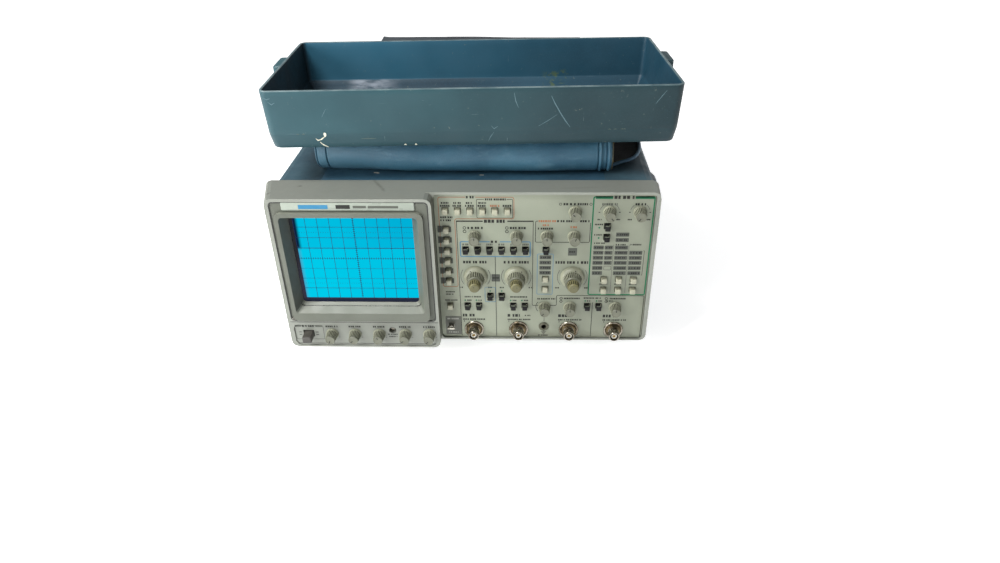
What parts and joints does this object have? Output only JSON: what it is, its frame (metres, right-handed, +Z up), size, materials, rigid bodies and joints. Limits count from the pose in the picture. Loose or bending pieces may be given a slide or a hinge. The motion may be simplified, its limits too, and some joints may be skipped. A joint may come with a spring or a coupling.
{
  "type": "oscilloscope",
  "caption": "Portable bench oscilloscope with a display, knobs, keys, coaxial inputs, a swing handle, a soft accessory pouch on top and a lift-off front cover.",
  "frame": {"origin": "on the surface that the feet stand on, below the middle of the bounding box", "axes": "+Z up, the user faces the front panel from -Y, +X to the user's right"},
  "size_m": [0.359, 0.44, 0.2442],
  "materials": {
    "frame": "moulded grey plastic, light wear on edges",
    "panel": "screen-printed grey-green panel",
    "bezel": "moulded grey plastic",
    "screen": "blue contrast filter",
    "tube_glass": "glass envelope",
    "shield_metal": "drawn sheet",
    "cabinet_paint": "slate-blue textured paint on aluminium sheet",
    "rear_plastic": "moulded slate-blue plastic",
    "fan_plastic": "black moulding",
    "inlet_plastic": "black moulding",
    "chassis_metal": "passivated sheet",
    "board": "glass-fibre board",
    "supply_metal": "passivated sheet",
    "knob_plastic": "fluted grey moulding",
    "variable_knob_plastic": "fluted khaki moulding",
    "key_light_plastic": "off-white moulding",
    "key_dark_plastic": "black and grey moulding",
    "power_key_plastic": "dark grey moulding",
    "connector_metal": "nickel plate, slightly dulled",
    "trimmer_metal": "slotted adjuster",
    "jack_metal": "nickel plate",
    "terminal_metal": "nickel plate",
    "foot_rubber": "black rubber",
    "handle_plastic": "slate-blue moulding",
    "button_plastic": "dark moulding",
    "pouch_vinyl": "blue vinyl-coated cloth, worn sheen",
    "cover_plastic": "teal-blue ABS with scratches"
  },
  "bodies": {
    "main_unit": {"front_frame": "frame", "control_panel": "panel", "crt_bezel": "bezel", "screen_filter": "screen", "crt_tube": "tube_glass", "crt_shield": "shield_metal", "cabinet": "cabinet_paint", "rear_panel": "rear_plastic", "power_inlet": "inlet_plastic", "chassis": "chassis_metal", "main_board": "board", "power_supply": "supply_metal", "ch1_input": "connector_metal", "ch2_input": "connector_metal", "ch3_input": "connector_metal", "ch4_input": "connector_metal", "ground_jack": "jack_metal", "probe_adjust_terminal": "terminal_metal", "foot_front_left": "foot_rubber", "foot_front_right": "foot_rubber", "foot_rear_left": "foot_rubber", "foot_rear_right": "foot_rubber", "accessory_pouch": "pouch_vinyl"},
    "a_intensity_knob_body": {"a_intensity_knob": "knob_plastic"},
    "b_intensity_knob_body": {"b_intensity_knob": "knob_plastic"},
    "focus_knob_body": {"focus_knob": "knob_plastic"},
    "readout_knob_body": {"readout_knob": "knob_plastic"},
    "scale_illumination_knob_body": {"scale_illumination_knob": "knob_plastic"},
    "ch1_position_knob_body": {"ch1_position_knob": "knob_plastic"},
    "ch2_position_knob_body": {"ch2_position_knob": "knob_plastic"},
    "cursor_reference_knob_body": {"cursor_reference_knob": "knob_plastic"},
    "cursor_delta_knob_body": {"cursor_delta_knob": "knob_plastic"},
    "horizontal_position_knob_body": {"horizontal_position_knob": "knob_plastic"},
    "holdoff_knob_body": {"holdoff_knob": "knob_plastic"},
    "trigger_level_knob_body": {"trigger_level_knob": "knob_plastic"},
    "trace_separation_knob_body": {"trace_separation_knob": "knob_plastic"},
    "ch3_position_knob_body": {"ch3_position_knob": "knob_plastic"},
    "ch4_position_knob_body": {"ch4_position_knob": "knob_plastic"},
    "ch1_volts_knob_body": {"ch1_volts_knob": "knob_plastic"},
    "ch1_volts_variable_knob_body": {"ch1_volts_variable_knob": "variable_knob_plastic"},
    "ch2_volts_knob_body": {"ch2_volts_knob": "knob_plastic"},
    "ch2_volts_variable_knob_body": {"ch2_volts_variable_knob": "variable_knob_plastic"},
    "time_base_knob_body": {"time_base_knob": "knob_plastic"},
    "time_base_variable_knob_body": {"time_base_variable_knob": "variable_knob_plastic"},
    "trace_rotation_trimmer_body": {"trace_rotation_trimmer": "trimmer_metal"},
    "menu_row_keys_body": {"menu_row_keys": "key_light_plastic"},
    "menu_column_keys_body": {"menu_column_keys": "key_light_plastic"},
    "recall_key_body": {"recall_key": "key_light_plastic"},
    "vertical_mode_keys_body": {"vertical_mode_keys": "key_dark_plastic"},
    "channel_keys_body": {"channel_keys": "key_dark_plastic"},
    "horizontal_keys_body": {"horizontal_keys": "key_dark_plastic"},
    "trigger_select_keys_body": {"trigger_select_keys": "key_dark_plastic"},
    "trigger_setting_keys_body": {"trigger_setting_keys": "key_light_plastic"},
    "ch3_ch4_range_keys_body": {"ch3_ch4_range_keys": "key_dark_plastic"},
    "power_key_body": {"power_key": "power_key_plastic"},
    "fan_rotor_body": {"fan_rotor": "fan_plastic"},
    "handle_body": {"handle": "handle_plastic"},
    "handle_button_left_body": {"handle_button_left": "button_plastic"},
    "handle_button_right_body": {"handle_button_right": "button_plastic"},
    "front_cover_body": {"front_cover": "cover_plastic"}
  },
  "joints": [
    {"name": "a_intensity_turn", "type": "hinge", "parent": "main_unit", "child": "a_intensity_knob_body", "pos_m": [-0.121, -0.2093, 0.0302], "axis": [0, 1, 0], "range_deg": [-150, 150]},
    {"name": "b_intensity_turn", "type": "hinge", "parent": "main_unit", "child": "b_intensity_knob_body", "pos_m": [-0.1002, -0.2093, 0.0302], "axis": [0, 1, 0], "range_deg": [-150, 150]},
    {"name": "focus_turn", "type": "hinge", "parent": "main_unit", "child": "focus_knob_body", "pos_m": [-0.0783, -0.2093, 0.0302], "axis": [0, 1, 0], "range_deg": [-150, 150]},
    {"name": "readout_turn", "type": "hinge", "parent": "main_unit", "child": "readout_knob_body", "pos_m": [-0.0548, -0.2093, 0.0302], "axis": [0, 1, 0], "range_deg": [-150, 150]},
    {"name": "scale_illumination_turn", "type": "hinge", "parent": "main_unit", "child": "scale_illumination_knob_body", "pos_m": [-0.0332, -0.2093, 0.0302], "axis": [0, 1, 0], "range_deg": [-150, 150]},
    {"name": "ch1_position_turn", "type": "hinge", "parent": "main_unit", "child": "ch1_position_knob_body", "pos_m": [0.0092, -0.1953, 0.1228], "axis": [0, 1, 0], "range_deg": [-150, 150]},
    {"name": "ch2_position_turn", "type": "hinge", "parent": "main_unit", "child": "ch2_position_knob_body", "pos_m": [0.0446, -0.1953, 0.1228], "axis": [0, 1, 0], "range_deg": [-150, 150]},
    {"name": "cursor_reference_turn", "type": "hinge", "parent": "main_unit", "child": "cursor_reference_knob_body", "pos_m": [0.0701, -0.1953, 0.1228], "axis": [0, 1, 0], "range_deg": [-150, 150]},
    {"name": "cursor_delta_turn", "type": "hinge", "parent": "main_unit", "child": "cursor_delta_knob_body", "pos_m": [0.0929, -0.1953, 0.1228], "axis": [0, 1, 0], "range_deg": [-150, 150]},
    {"name": "horizontal_position_turn", "type": "hinge", "parent": "main_unit", "child": "horizontal_position_knob_body", "pos_m": [0.0929, -0.1953, 0.1456], "axis": [0, 1, 0], "range_deg": [-150, 150]},
    {"name": "holdoff_turn", "type": "hinge", "parent": "main_unit", "child": "holdoff_knob_body", "pos_m": [0.121, -0.1953, 0.1456], "axis": [0, 1, 0], "range_deg": [-150, 150]},
    {"name": "trigger_level_turn", "type": "hinge", "parent": "main_unit", "child": "trigger_level_knob_body", "pos_m": [0.1458, -0.1953, 0.1456], "axis": [0, 1, 0], "range_deg": [-150, 150]},
    {"name": "trace_separation_turn", "type": "hinge", "parent": "main_unit", "child": "trace_separation_knob_body", "pos_m": [0.0694, -0.1953, 0.0513], "axis": [0, 1, 0], "range_deg": [-150, 150]},
    {"name": "ch3_position_turn", "type": "hinge", "parent": "main_unit", "child": "ch3_position_knob_body", "pos_m": [0.0919, -0.1953, 0.0513], "axis": [0, 1, 0], "range_deg": [-150, 150]},
    {"name": "ch4_position_turn", "type": "hinge", "parent": "main_unit", "child": "ch4_position_knob_body", "pos_m": [0.1322, -0.1953, 0.0513], "axis": [0, 1, 0], "range_deg": [-150, 150]},
    {"name": "ch1_volts_turn", "type": "hinge", "parent": "main_unit", "child": "ch1_volts_knob_body", "pos_m": [0.0089, -0.1953, 0.0825], "axis": [0, 1, 0], "range_deg": [-150, 150]},
    {"name": "ch1_volts_variable_turn", "type": "hinge", "parent": "main_unit", "child": "ch1_volts_variable_knob_body", "pos_m": [0.0089, -0.1953, 0.0825], "axis": [0, 1, 0], "range_deg": [-150, 150]},
    {"name": "ch2_volts_turn", "type": "hinge", "parent": "main_unit", "child": "ch2_volts_knob_body", "pos_m": [0.0444, -0.1953, 0.0825], "axis": [0, 1, 0], "range_deg": [-150, 150]},
    {"name": "ch2_volts_variable_turn", "type": "hinge", "parent": "main_unit", "child": "ch2_volts_variable_knob_body", "pos_m": [0.0444, -0.1953, 0.0825], "axis": [0, 1, 0], "range_deg": [-150, 150]},
    {"name": "time_base_turn", "type": "hinge", "parent": "main_unit", "child": "time_base_knob_body", "pos_m": [0.093, -0.1953, 0.0825], "axis": [0, 1, 0], "range_deg": [-150, 150]},
    {"name": "time_base_variable_turn", "type": "hinge", "parent": "main_unit", "child": "time_base_variable_knob_body", "pos_m": [0.093, -0.1953, 0.0825], "axis": [0, 1, 0], "range_deg": [-150, 150]},
    {"name": "trace_rotation_turn", "type": "hinge", "parent": "main_unit", "child": "trace_rotation_trimmer_body", "pos_m": [-0.0663, -0.206, 0.0341], "axis": [0, 1, 0], "range_deg": [-150, 150]},
    {"name": "menu_row_press", "type": "slide", "parent": "main_unit", "child": "menu_row_keys_body", "axis": [0, 1, 0], "range_m": [0, 0.0015], "stiffness_N_per_m": 300, "springref_m": -0.002},
    {"name": "menu_column_press", "type": "slide", "parent": "main_unit", "child": "menu_column_keys_body", "axis": [0, 1, 0], "range_m": [0, 0.0015], "stiffness_N_per_m": 300, "springref_m": -0.002},
    {"name": "recall_press", "type": "slide", "parent": "main_unit", "child": "recall_key_body", "axis": [0, 1, 0], "range_m": [0, 0.0015], "stiffness_N_per_m": 300, "springref_m": -0.002},
    {"name": "vertical_mode_press", "type": "slide", "parent": "main_unit", "child": "vertical_mode_keys_body", "axis": [0, 1, 0], "range_m": [0, 0.0015], "stiffness_N_per_m": 300, "springref_m": -0.002},
    {"name": "channel_press", "type": "slide", "parent": "main_unit", "child": "channel_keys_body", "axis": [0, 1, 0], "range_m": [0, 0.0015], "stiffness_N_per_m": 300, "springref_m": -0.002},
    {"name": "horizontal_press", "type": "slide", "parent": "main_unit", "child": "horizontal_keys_body", "axis": [0, 1, 0], "range_m": [0, 0.0015], "stiffness_N_per_m": 300, "springref_m": -0.002},
    {"name": "trigger_select_press", "type": "slide", "parent": "main_unit", "child": "trigger_select_keys_body", "axis": [0, 1, 0], "range_m": [0, 0.0015], "stiffness_N_per_m": 300, "springref_m": -0.002},
    {"name": "trigger_setting_press", "type": "slide", "parent": "main_unit", "child": "trigger_setting_keys_body", "axis": [0, 1, 0], "range_m": [0, 0.0015], "stiffness_N_per_m": 300, "springref_m": -0.002},
    {"name": "ch3_ch4_range_press", "type": "slide", "parent": "main_unit", "child": "ch3_ch4_range_keys_body", "axis": [0, 1, 0], "range_m": [0, 0.0015], "stiffness_N_per_m": 300, "springref_m": -0.002},
    {"name": "power_press", "type": "slide", "parent": "main_unit", "child": "power_key_body", "axis": [0, 1, 0], "range_m": [0, 0.004], "stiffness_N_per_m": 400, "springref_m": -0.003},
    {"name": "fan_spin", "type": "hinge", "parent": "main_unit", "child": "fan_rotor_body", "pos_m": [0.088, 0.183, 0.094], "axis": [0, 1, 0], "continuous": true},
    {"name": "handle_swing", "type": "hinge", "parent": "main_unit", "child": "handle_body", "pos_m": [0, -0.092, 0.099], "axis": [-1, 0, 0], "range_deg": [0, 180]},
    {"name": "handle_button_left_press", "type": "slide", "parent": "handle_body", "child": "handle_button_left_body", "axis": [1, 0, 0], "range_m": [0, 0.0025], "stiffness_N_per_m": 500, "springref_m": -0.002},
    {"name": "handle_button_right_press", "type": "slide", "parent": "handle_body", "child": "handle_button_right_body", "axis": [-1, 0, 0], "range_m": [0, 0.0025], "stiffness_N_per_m": 500, "springref_m": -0.002},
    {"name": "front_cover_lift", "type": "slide", "parent": "main_unit", "child": "front_cover_body", "axis": [0, 0, 1], "range_m": [0, 0.25]}
  ]
}
